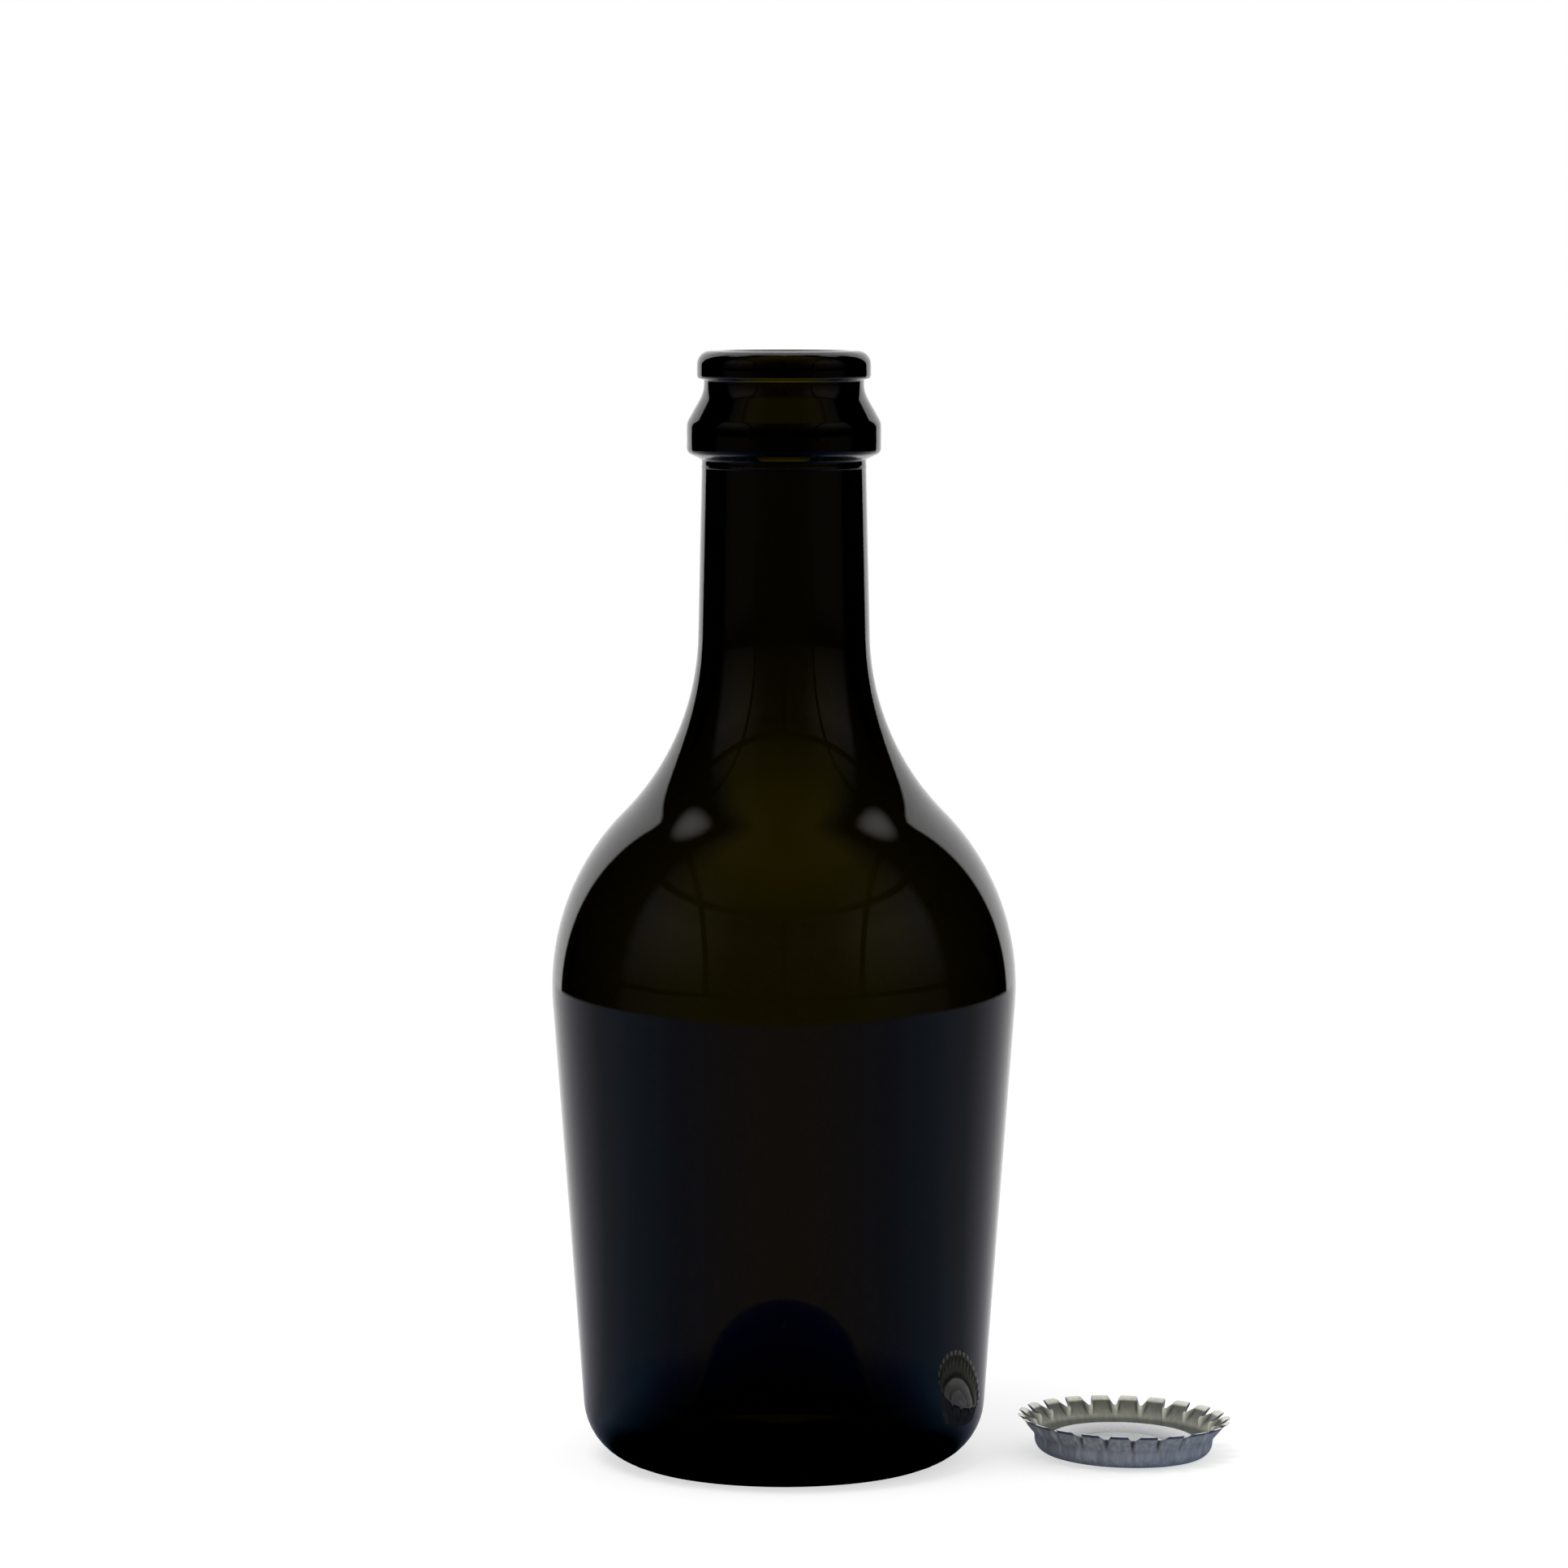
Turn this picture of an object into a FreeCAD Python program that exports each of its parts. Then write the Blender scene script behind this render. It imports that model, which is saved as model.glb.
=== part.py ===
import FreeCAD, Part
import math
import os
import Sketcher

# A glass bottle with a crown finish, standing open, and its crown cap lying beside
# it with the skirt up. Millimetres, +Z up. The origin is on the bottle's axis in the
# plane it stands on. Radii are taken from each piece's own axis.

SIZES = [
    # the bottle's outside, from the base up
    ("ring_width", 1.0, "width of the flat ring the bottle stands on"),
    ("ring_inset", 12.7, "the ring lies this far inside the largest radius"),
    ("heel_slope", 18.0, "degrees, slope of the base cone outside the ring"),
    ("heel_radius", 10.6, "rounding between base cone and wall"),
    ("wall_draft", 4.24, "degrees, the wall leans outward going up"),
    ("body_radius", 38.7, "largest radius, at the shoulder"),
    ("shoulder_height", 79.6, "height of the largest radius"),
    ("shoulder_radius", 41.0, "profile radius of the shoulder"),
    ("sweep_radius", 43.0, "profile radius from the shoulder into the neck"),
    ("neck_radius", 13.6, "neck radius just under the finish"),
    ("neck_taper", 1.28, "degrees, the neck widens going down"),
    ("finish_depth", 18.0, "the finish meets the neck this far below the lip's top"),
    # the finish: a reinforcing ring, a groove and the lip
    ("collar_radius", 16.1, "reinforcing ring, radius"),
    ("collar_depth", 16.8, "the ring's lower corner, below the lip's top"),
    ("collar_rise", 4.9, "height of the ring's outer face"),
    ("collar_round_low", 1.1, "rounding of the ring's lower corner"),
    ("collar_round_high", 2.4, "rounding of the ring's upper corner"),
    ("groove_depth", 6.8, "the groove's lower corner, below the lip's top"),
    ("groove_round", 5.0, "rounding of the groove's lower corner"),
    ("lip_radius", 14.4, "radius of the lip"),
    ("lip_overhang", 1.15, "the lip stands this far out over the groove"),
    ("lip_depth", 4.7, "depth of the lip below the top"),
    ("lip_round_low", 0.66, "rounding under the lip"),
    ("lip_foot_round", 0.6, "rounding where the lip leaves the groove"),
    ("lip_round_high", 2.3, "rounding on top of the lip"),
    ("bottle_height", 185.2, "height of the lip's top"),
    # the bottle's inside
    ("mouth_radius", 9.4, "bore at the mouth"),
    ("mouth_round", 1.6, "rounding of the mouth's inner edge"),
    ("bore_taper", 1.15, "degrees, the bore widens going down"),
    ("body_wall", 3.1, "wall of body and shoulder"),
    ("bore_sweep", 47.0, "profile radius from the cavity's shoulder into the bore"),
    ("floor_height", 5.6, "height of the floor round the punt"),
    ("heel_round", 9.0, "rounding between wall and floor"),
    ("punt_apex", 26.5, "height of the punt inside"),
    ("punt_tip", 13.0, "radius of the punt's tip inside"),
    ("punt_flank", 24.0, "degrees, half angle of the punt's cone"),
    ("punt_foot", 4.0, "rounding round the punt's foot"),
    ("punt_glass", 4.2, "glass over the punt's hollow"),
    ("hollow_foot", 2.6, "height of the foot of the hollow's cone"),
    ("hollow_round", 4.5, "rounding of that foot"),
    # bars of the knurled bearing surface
    ("knurl_count", 54, "bars round the ring"),
    ("knurl_depth", 0.42, "depth between the bars"),
    ("knurl_gap", 1.9, "gap between two bars at their crests"),
    ("knurl_root", 0.8, "width of the gap's bottom"),
    ("knurl_length", 6.5, "length of the gaps, which run out in the heel"),
    # the crown cap's sheet
    ("sheet", 0.28, "thickness of the sheet"),
    ("panel_dome", 250.0, "radius of the slightly domed panel"),
    ("cap_fit", 0.27, "clearance between the lip and the skirt below the flutes"),
    ("cap_corner", 2.3, "rounding between panel and skirt"),
    ("cap_height", 6.45, "height of the rim"),
    ("flare_start", 3.4, "height where the skirt starts to flare"),
    ("flare_blend", 3.0, "rounding at the start of the flare"),
    ("flare_run", 2.5, "the rim stands this far out over the skirt"),
    # flutes of the skirt
    ("flute_count", 22, "flutes round the skirt"),
    ("flute_start", 3.05, "height where the flutes run out"),
    ("flute_flat", 0.5, "width of the bottom of a flute"),
    ("flute_angle", 20.0, "degrees, each side of a flute"),
    ("flute_lean", 2.0, "degrees, the flute's bottom leans inward going up"),
    ("notch_depth", 1.2, "depth of the rim's notch over each flute"),
    # the sealing liner in the cap
    ("liner_edge", 2.0, "height of the liner's edge over the panel's outside"),
    ("liner_edge_round", 0.5, "rounding between that edge and the sealing ring"),
    ("liner_ring_foot", 13.1, "sealing ring, radius of its outer foot"),
    ("liner_crest_radius", 11.9, "sealing ring, radius of its crest"),
    ("liner_crest", 3.2, "sealing ring, height of its crest before the rounding"),
    ("liner_crest_round", 0.9, "sealing ring, rounding of its crest"),
    ("liner_trough_radius", 8.9, "inner foot of the sealing ring"),
    ("liner_trough", 1.95, "height of the trough inside the ring"),
    ("liner_trough_round", 1.5, "rounding between ring and trough"),
    ("liner_pad_foot", 7.0, "raised pad, radius of its foot"),
    ("liner_pad_radius", 6.7, "raised pad in the middle"),
    ("liner_pad", 2.3, "height of the pad"),
    ("liner_pad_round", 0.2, "rounding of the pad's edge"),
    # where the cap lies
    ("cap_clear", 0.85, "from the bottle's widest radius to the cap's rim, seen from above"),
    ("cap_turn", 10.5, "degrees, turn of the cap about its own axis"),
    ("cap_lean", 1.4, "degrees, the cap leans on its domed panel"),
    # what follows from the sizes above
    ("ring_outer", "=body_radius - ring_inset", "outer radius of the ring"),
    ("ring_inner", "=ring_outer - ring_width", "inner radius of the ring"),
    ("groove_radius", "=lip_radius - lip_overhang", "radius in the groove under the lip"),
    ("cap_radius", "=lip_radius + cap_fit + sheet", "outer radius of the skirt below the flutes"),
    ("flare_radius", "=cap_radius + flare_run", "radius of the rim"),
    ("lip_edge", "=min(lip_round_high; (lip_radius - mouth_radius) / 2)", "rounding on the lip, held to its wall"),
    ("mouth_edge", "=min(mouth_round; (lip_radius - mouth_radius) / 3)", "rounding of the mouth, held to its wall"),
]

doc = FreeCAD.newDocument("CrownBottle")
sheet = doc.addObject("Spreadsheet::Sheet", "Size")
for row, (alias, value, meaning) in enumerate(SIZES, start=1):
    sheet.set("A%d" % row, alias)
    sheet.set("B%d" % row, str(value))
    sheet.set("C%d" % row, meaning)
    sheet.setAlias("B%d" % row, alias)
doc.recompute()


def number(expression):
    """The value of an expression in the sheet's sizes."""
    value = sheet.evalExpression(expression)
    return float(getattr(value, "Value", value))


def plane_of(body, role):
    for feature in body.Origin.OriginFeatures:
        if feature.Role == role:
            return feature


class Outline:
    """A closed sketch on one origin plane of a body, sized from the sheet."""

    def __init__(self, body, name, role="XZ_Plane", offset=None):
        self.body = body
        self.sketch = body.newObject("Sketcher::SketchObject", name)
        self.sketch.AttachmentSupport = [(plane_of(body, role), "")]
        self.sketch.MapMode = "FlatFace"
        if offset:
            self.sketch.setExpression("AttachmentOffset.Base.z", offset)

    def line(self, start, end, helper=False):
        first = FreeCAD.Vector(start[0], start[1], 0)
        last = FreeCAD.Vector(end[0], end[1], 0)
        return self.sketch.addGeometry(Part.LineSegment(first, last), helper)

    def arc(self, centre, radius, start, end):
        """An arc drawn counter-clockwise from one angle to another, in radians."""
        circle = Part.Circle(FreeCAD.Vector(centre[0], centre[1], 0), FreeCAD.Vector(0, 0, 1), radius)
        return self.sketch.addGeometry(Part.ArcOfCircle(circle, start, end), False)

    def tie(self, kind, *where):
        self.sketch.addConstraint(Sketcher.Constraint(kind, *where))

    def size(self, kind, *where, is_):
        """A dimension whose value is an expression; a negative one is measured the other way."""
        value = number(is_)
        if kind in ("DistanceX", "DistanceY") and value < 0:
            where = where[2:] + where[:2]
            is_ = "-(%s)" % is_
            value = -value
        if kind == "Angle":
            value = math.radians(value)
            is_ = "(%s) * 1 deg" % is_
        index = self.sketch.addConstraint(Sketcher.Constraint(kind, *where, value))
        self.sketch.setExpression("Constraints[%d]" % index, is_)

    def place(self, geometry, end, x, y):
        """Puts a point at x, y; an expression of "0" puts it on the axis."""
        for value, kind, axis in ((x, "DistanceX", -2), (y, "DistanceY", -1)):
            if value == "0":
                self.tie("PointOnObject", geometry, end, axis)
            else:
                self.size(kind, -1, 1, geometry, end, is_=value)

    def rounded(self, corners):
        """Joins corners (x, y, rounding or None) by lines and tangent arcs into a loop."""
        count = len(corners)
        points = [(number(x), number(y)) for x, y, _ in corners]
        cuts = []
        for i in range(count):
            here = FreeCAD.Vector(points[i][0], points[i][1], 0)
            back = FreeCAD.Vector(points[i - 1][0], points[i - 1][1], 0).sub(here).normalize()
            ahead = points[(i + 1) % count]
            on = FreeCAD.Vector(ahead[0], ahead[1], 0).sub(here).normalize()
            if corners[i][2] is None:
                cuts.append((here, here, None, 0.0, 0.0, 0.0, False))
                continue
            radius = number(corners[i][2])
            half = back.getAngle(on) / 2
            reach = radius / math.tan(half)
            centre = here + (back + on).normalize() * (radius / math.sin(half))
            start = here + back * reach
            end = here + on * reach
            first = math.atan2(start.y - centre.y, start.x - centre.x)
            last = math.atan2(end.y - centre.y, end.x - centre.x)
            left_turn = back.cross(on).z < 0
            cuts.append((start, end, centre, radius, first, last, left_turn))
        lines = []
        for i in range(count):
            lines.append(self.line(cuts[i][1], cuts[(i + 1) % count][0]))
        for i in range(count):
            before, after = lines[i - 1], lines[i]
            x, y, rounding = corners[i]
            if rounding is None:
                self.tie("Coincident", before, 2, after, 1)
                self.place(after, 1, x, y)
                continue
            _, _, centre, radius, first, last, left_turn = cuts[i]
            if left_turn:
                arc = self.arc(centre, radius, first, last)
                self.tie("Tangent", before, 2, arc, 1)
                self.tie("Tangent", arc, 2, after, 1)
            else:
                arc = self.arc(centre, radius, last, first)
                self.tie("Tangent", before, 2, arc, 2)
                self.tie("Tangent", arc, 1, after, 1)
            self.size("Radius", arc, is_=rounding)
            corner = self.sketch.addGeometry(Part.Point(FreeCAD.Vector(points[i][0], points[i][1], 0)), True)
            self.tie("PointOnObject", corner, 1, before)
            self.tie("PointOnObject", corner, 1, after)
            self.place(corner, 1, x, y)

    def turn(self, kind, name):
        """Revolves the outline about the body's vertical axis, to add or to cut."""
        feature = self.body.newObject(kind, name)
        feature.Profile = self.sketch
        feature.ReferenceAxis = (self.sketch, ["V_Axis"])
        feature.Angle = 360.0
        return settled(self.body, feature)

    def cut_along(self, name, length, x="0", y="0", z="0", turned=False):
        """Cuts the outline's section along a direction given in the body's axes."""
        feature = self.body.newObject("PartDesign::Pocket", name)
        feature.Profile = self.sketch
        feature.UseCustomVector = True
        feature.AlongSketchNormal = False
        feature.Direction = FreeCAD.Vector(number(x), number(y), number(z))
        feature.setExpression("Direction.x", x)
        feature.setExpression("Direction.y", y)
        feature.setExpression("Direction.z", z)
        feature.setExpression("Length", length)
        feature.Reversed = turned
        return settled(self.body, feature)


def settled(body, feature):
    doc.recompute()
    if feature.Shape.isNull() or not feature.Shape.isValid():
        raise ValueError("%s failed" % feature.Name)
    print("%-16s %10.1f mm3" % (feature.Name, body.Shape.Volume))
    return feature


def repeated(body, name, features, count):
    """Repeats features round the body's vertical axis."""
    pattern = body.newObject("PartDesign::PolarPattern", name)
    pattern.Originals = features
    pattern.Axis = (plane_of(body, "Z_Axis"), [""])
    pattern.Angle = 360.0
    pattern.setExpression("Occurrences", count)
    body.Tip = pattern
    return settled(body, pattern)


# --- Bottle: outside of the vessel -------------------------------------------------

bottle = doc.addObject("PartDesign::Body", "Bottle")
bottle.Label = "bottle"

draft = math.radians(number("Size.wall_draft"))
slope = math.radians(number("Size.heel_slope"))
taper = math.radians(number("Size.neck_taper"))
shoulder = number("Size.shoulder_radius")
shoulder_centre = FreeCAD.Vector(number("Size.body_radius - Size.shoulder_radius"), number("Size.shoulder_height"), 0)


def along(angle):
    return FreeCAD.Vector(math.cos(angle), math.sin(angle), 0)


def sweep_centre(radius, sweep, foot, foot_height, lean):
    """Centre of the hollow arc that touches the shoulder's arc and a leaning line."""
    height = foot_height
    for _ in range(60):
        reach = foot + (foot_height - height) * math.tan(lean) + sweep / math.cos(lean)
        rise = (radius + sweep) ** 2 - (reach - shoulder_centre.x) ** 2
        height = shoulder_centre.y + math.sqrt(rise)
    return FreeCAD.Vector(reach, height, 0)


def heel_centre(wall_point, wall_angle, floor_point, floor_angle, radius):
    """Centre of the arc between the wall line and the line it meets below."""
    wall_normal = along(wall_angle + math.pi / 2)
    floor_normal = along(floor_angle + math.pi / 2)
    first = wall_point + wall_normal * radius
    second = floor_point + floor_normal * radius
    run = along(wall_angle)
    other = along(floor_angle)
    span = second - first
    share = (span.x * other.y - span.y * other.x) / (run.x * other.y - run.y * other.x)
    return first + run * share


wall_touch = shoulder_centre + along(-draft) * shoulder
ring_corner = FreeCAD.Vector(number("Size.ring_outer"), 0, 0)
heel = number("Size.heel_radius")
heel_middle = heel_centre(wall_touch, math.pi / 2 - draft, ring_corner, slope, heel)
sweep = number("Size.sweep_radius")
neck_corner = FreeCAD.Vector(number("Size.neck_radius"), number("Size.bottle_height - Size.finish_depth"), 0)
sweep_middle = sweep_centre(shoulder, sweep, neck_corner.x, neck_corner.y, taper)
turn_angle = math.atan2(sweep_middle.y - shoulder_centre.y, sweep_middle.x - shoulder_centre.x)

vessel = Outline(bottle, "VesselOutline")
top_left = (0.0, neck_corner.y)
axis_side = vessel.line(top_left, (0, 0))
base_side = vessel.line((0, 0), ring_corner)
cone_side = vessel.line(ring_corner, heel_middle + along(slope - math.pi / 2) * heel)
heel_arc = vessel.arc(heel_middle, heel, slope - math.pi / 2, -draft)
wall_side = vessel.line(heel_middle + along(-draft) * heel, wall_touch)
shoulder_arc = vessel.arc(shoulder_centre, shoulder, -draft, turn_angle)
sweep_arc = vessel.arc(sweep_middle, sweep, math.pi + taper, math.pi + turn_angle)
neck_side = vessel.line(sweep_middle + along(math.pi + taper) * sweep, neck_corner)
top_side = vessel.line(neck_corner, top_left)
widest = vessel.line(shoulder_centre, shoulder_centre + along(0) * shoulder, helper=True)
vessel.tie("Coincident", axis_side, 2, base_side, 1)
vessel.tie("Coincident", axis_side, 2, -1, 1)
vessel.tie("Vertical", axis_side)
vessel.tie("Horizontal", base_side)
vessel.tie("Coincident", base_side, 2, cone_side, 1)
vessel.size("DistanceX", -1, 1, base_side, 2, is_="Size.ring_outer")
vessel.size("Angle", base_side, 2, cone_side, 1, is_="180 + Size.heel_slope")
vessel.tie("Tangent", cone_side, 2, heel_arc, 1)
vessel.size("Radius", heel_arc, is_="Size.heel_radius")
vessel.tie("Tangent", heel_arc, 2, wall_side, 1)
vessel.size("Angle", wall_side, is_="90 - Size.wall_draft")
vessel.tie("Tangent", wall_side, 2, shoulder_arc, 1)
vessel.size("Radius", shoulder_arc, is_="Size.shoulder_radius")
vessel.tie("Coincident", widest, 1, shoulder_arc, 3)
vessel.tie("Horizontal", widest)
vessel.size("DistanceX", -1, 1, widest, 2, is_="Size.body_radius")
vessel.size("DistanceY", -1, 1, widest, 2, is_="Size.shoulder_height")
vessel.tie("PointOnObject", widest, 2, shoulder_arc)
vessel.tie("Tangent", shoulder_arc, 2, sweep_arc, 2)
vessel.size("Radius", sweep_arc, is_="Size.sweep_radius")
vessel.tie("Tangent", sweep_arc, 1, neck_side, 1)
vessel.tie("Coincident", neck_side, 2, top_side, 1)
vessel.place(neck_side, 2, "Size.neck_radius", "Size.bottle_height - Size.finish_depth")
vessel.size("Angle", neck_side, is_="90 + Size.neck_taper")
vessel.tie("Horizontal", top_side)
vessel.tie("Coincident", top_side, 2, axis_side, 1)
vessel.turn("PartDesign::Revolution", "Vessel")

# --- Bottle: crown finish ----------------------------------------------------------

finish = Outline(bottle, "FinishOutline")
finish.rounded([
    ("0", "Size.bottle_height - Size.finish_depth - 1", None),
    ("Size.neck_radius", "Size.bottle_height - Size.finish_depth - 1", None),
    ("Size.neck_radius", "Size.bottle_height - Size.finish_depth", None),
    ("Size.collar_radius", "Size.bottle_height - Size.collar_depth", "Size.collar_round_low"),
    ("Size.collar_radius", "Size.bottle_height - Size.collar_depth + Size.collar_rise", "Size.collar_round_high"),
    ("Size.groove_radius", "Size.bottle_height - Size.groove_depth", "Size.groove_round"),
    ("Size.groove_radius", "Size.bottle_height - Size.lip_depth", "Size.lip_foot_round"),
    ("Size.lip_radius", "Size.bottle_height - Size.lip_depth", "Size.lip_round_low"),
    ("Size.lip_radius", "Size.bottle_height", "Size.lip_edge"),
    ("0", "Size.bottle_height", None),
])
finish.turn("PartDesign::Revolution", "Finish")

# --- Bottle: cavity ----------------------------------------------------------------

inner_shoulder = number("Size.shoulder_radius - Size.body_wall")
inner_touch = shoulder_centre + along(-draft) * inner_shoulder
bore_lean = math.radians(number("Size.bore_taper"))
bore_sweep = number("Size.bore_sweep")
mouth_corner = FreeCAD.Vector(number("Size.mouth_radius"), number("Size.bottle_height"), 0)
bore_middle = sweep_centre(inner_shoulder, bore_sweep, mouth_corner.x, mouth_corner.y, bore_lean)
bore_turn = math.atan2(bore_middle.y - shoulder_centre.y, bore_middle.x - shoulder_centre.x)
floor = number("Size.floor_height")
inner_heel = number("Size.heel_round")
floor_point = FreeCAD.Vector(0, floor, 0)
inner_middle = heel_centre(inner_touch, math.pi / 2 - draft, floor_point, 0.0, inner_heel)

flank = math.radians(number("Size.punt_flank"))


def punt_points(apex, tip, foot_height, foot_round):
    """The punt's tip centre, the tip's end, and the rounding where its cone meets a level."""
    centre = FreeCAD.Vector(0, apex - tip, 0)
    tip_end = centre + along(flank) * tip
    foot = FreeCAD.Vector(tip_end.x + (tip_end.y - foot_height) * math.tan(flank), foot_height, 0)
    reach = foot_round * math.tan((math.pi / 2 - flank) / 2)
    foot_middle = FreeCAD.Vector(foot.x + reach, foot_height + foot_round, 0)
    return centre, tip_end, foot, foot_middle


tip = number("Size.punt_tip")
foot_round = number("Size.punt_foot")
tip_centre, tip_end, foot, foot_middle = punt_points(number("Size.punt_apex"), tip, floor, foot_round)

cavity = Outline(bottle, "CavityOutline")
lid_height = mouth_corner.y + 1
mouth_side = cavity.line((0, lid_height), (0, tip_centre.y + tip))
tip_arc = cavity.arc(tip_centre, tip, flank, math.pi / 2)
punt_side = cavity.line(tip_end, foot_middle + along(math.pi + flank) * foot_round)
foot_arc = cavity.arc(foot_middle, foot_round, math.pi + flank, 1.5 * math.pi)
floor_side = cavity.line((foot_middle.x, floor), (inner_middle.x, floor))
inner_arc = cavity.arc(inner_middle, inner_heel, -math.pi / 2, -draft)
inner_side = cavity.line(inner_middle + along(-draft) * inner_heel, inner_touch)
inner_shoulder_arc = cavity.arc(shoulder_centre, inner_shoulder, -draft, bore_turn)
bore_arc = cavity.arc(bore_middle, bore_sweep, math.pi + bore_lean, math.pi + bore_turn)
bore_end = mouth_corner + FreeCAD.Vector(-math.tan(bore_lean), 1, 0)
bore_side = cavity.line(bore_middle + along(math.pi + bore_lean) * bore_sweep, bore_end)
lid_side = cavity.line(bore_end, (0, lid_height))
mouth_point = cavity.sketch.addGeometry(Part.Point(mouth_corner), True)
cavity.tie("PointOnObject", mouth_side, 1, -2)
cavity.tie("PointOnObject", mouth_side, 2, -2)
cavity.tie("Coincident", mouth_side, 2, tip_arc, 2)
cavity.tie("PointOnObject", tip_arc, 3, -2)
cavity.size("DistanceY", -1, 1, mouth_side, 2, is_="Size.punt_apex")
cavity.size("Radius", tip_arc, is_="Size.punt_tip")
cavity.tie("Tangent", tip_arc, 1, punt_side, 1)
cavity.size("Angle", punt_side, is_="Size.punt_flank - 90")
cavity.tie("Tangent", punt_side, 2, foot_arc, 1)
cavity.size("Radius", foot_arc, is_="Size.punt_foot")
cavity.tie("Tangent", foot_arc, 2, floor_side, 1)
cavity.tie("Horizontal", floor_side)
cavity.size("DistanceY", -1, 1, floor_side, 1, is_="Size.floor_height")
cavity.tie("Tangent", floor_side, 2, inner_arc, 1)
cavity.size("Radius", inner_arc, is_="Size.heel_round")
cavity.tie("Tangent", inner_arc, 2, inner_side, 1)
cavity.size("Angle", inner_side, is_="90 - Size.wall_draft")
cavity.tie("Tangent", inner_side, 2, inner_shoulder_arc, 1)
cavity.size("Radius", inner_shoulder_arc, is_="Size.shoulder_radius - Size.body_wall")
cavity.place(inner_shoulder_arc, 3, "Size.body_radius - Size.shoulder_radius", "Size.shoulder_height")
cavity.tie("Tangent", inner_shoulder_arc, 2, bore_arc, 2)
cavity.size("Radius", bore_arc, is_="Size.bore_sweep")
cavity.tie("Tangent", bore_arc, 1, bore_side, 1)
cavity.size("Angle", bore_side, is_="90 + Size.bore_taper")
cavity.place(mouth_point, 1, "Size.mouth_radius", "Size.bottle_height")
cavity.tie("PointOnObject", mouth_point, 1, bore_side)
cavity.tie("Coincident", bore_side, 2, lid_side, 1)
cavity.tie("Horizontal", lid_side)
cavity.size("DistanceY", -1, 1, lid_side, 1, is_="Size.bottle_height + 1")
cavity.tie("Coincident", lid_side, 2, mouth_side, 1)
cavity.turn("PartDesign::Groove", "Cavity")

# --- Bottle: hollow under the punt -------------------------------------------------

under_tip = tip - number("Size.punt_glass")
under_end = tip_centre + along(flank) * under_tip
hollow_drop = under_end.y - number("Size.hollow_foot")
hollow_corner = under_end + FreeCAD.Vector(hollow_drop * math.tan(flank), -hollow_drop, 0)

hollow = Outline(bottle, "HollowOutline")
hollow_axis = hollow.line((0, -1), (0, tip_centre.y + under_tip))
hollow_tip = hollow.arc(tip_centre, under_tip, flank, math.pi / 2)
hollow_side = hollow.line(under_end, hollow_corner)
hollow_foot = hollow.line(hollow_corner, (number("Size.ring_inner"), 0))
hollow_rim = hollow.line((number("Size.ring_inner"), 0), (number("Size.ring_inner"), -1))
hollow_floor = hollow.line((number("Size.ring_inner"), -1), (0, -1))
hollow.tie("PointOnObject", hollow_axis, 1, -2)
hollow.tie("PointOnObject", hollow_axis, 2, -2)
hollow.tie("Coincident", hollow_axis, 2, hollow_tip, 2)
hollow.place(hollow_tip, 3, "0", "Size.punt_apex - Size.punt_tip")
hollow.size("Radius", hollow_tip, is_="Size.punt_tip - Size.punt_glass")
hollow.tie("Tangent", hollow_tip, 1, hollow_side, 1)
hollow.tie("Coincident", hollow_side, 2, hollow_foot, 1)
hollow.size("Angle", hollow_side, is_="Size.punt_flank - 90")
hollow.size("DistanceY", -1, 1, hollow_side, 2, is_="Size.hollow_foot")
hollow.tie("Coincident", hollow_foot, 2, hollow_rim, 1)
hollow.place(hollow_rim, 1, "Size.ring_inner", "0")
hollow.tie("Vertical", hollow_rim)
hollow.tie("Coincident", hollow_rim, 2, hollow_floor, 1)
hollow.tie("Horizontal", hollow_floor)
hollow.tie("Coincident", hollow_floor, 2, hollow_axis, 1)
hollow.size("DistanceY", hollow_axis, 1, -1, 1, is_="1")
hollow.turn("PartDesign::Groove", "Hollow")


def rim_of(feature, radius, height):
    """The name of a feature's circular edge with this radius at this height."""
    for index, edge in enumerate(feature.Shape.Edges, start=1):
        if edge.Degenerated or not isinstance(edge.Curve, Part.Circle):
            continue
        if abs(edge.Curve.Center.z - height) < 0.01 and abs(edge.Curve.Radius - radius) < 0.01:
            return "Edge%d" % index
    raise ValueError("no edge of radius %.2f at %.2f" % (radius, height))


def soften(body, name, rims, radius):
    """Rounds circular edges of the body's last feature."""
    base = body.Tip
    feature = body.newObject("PartDesign::Fillet", name)
    feature.Base = (base, [rim_of(base, rim, height) for rim, height in rims])
    feature.setExpression("Radius", radius)
    return settled(body, feature)


soften(bottle, "MouthEdge", [(mouth_corner.x, mouth_corner.y)], "Size.mouth_edge")
soften(bottle, "HollowFoot", [(hollow_corner.x, hollow_corner.y)], "Size.hollow_round")

# --- Bottle: knurled bearing surface -----------------------------------------------

# One gap between two bars: a tapering channel that runs outward up the base cone and
# ends by itself where the heel curves away from it.
gap = Outline(bottle, "GapSection", role="YZ_Plane", offset="Size.ring_outer")
gap.rounded([
    ("-Size.knurl_gap / 2", "-0.6", None),
    ("Size.knurl_gap / 2", "-0.6", None),
    ("Size.knurl_gap / 2", "0", None),
    ("Size.knurl_root / 2", "Size.knurl_depth", None),
    ("-Size.knurl_root / 2", "Size.knurl_depth", None),
    ("-Size.knurl_gap / 2", "0", None),
])
first_gap = gap.cut_along("Gap", "Size.knurl_length", x="cos(Size.heel_slope * 1 deg)", z="sin(Size.heel_slope * 1 deg)")
repeated(bottle, "Gaps", [first_gap], "Size.knurl_count")

# --- Crown cap: the sheet as an outer form less the same form one sheet smaller -----

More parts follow.
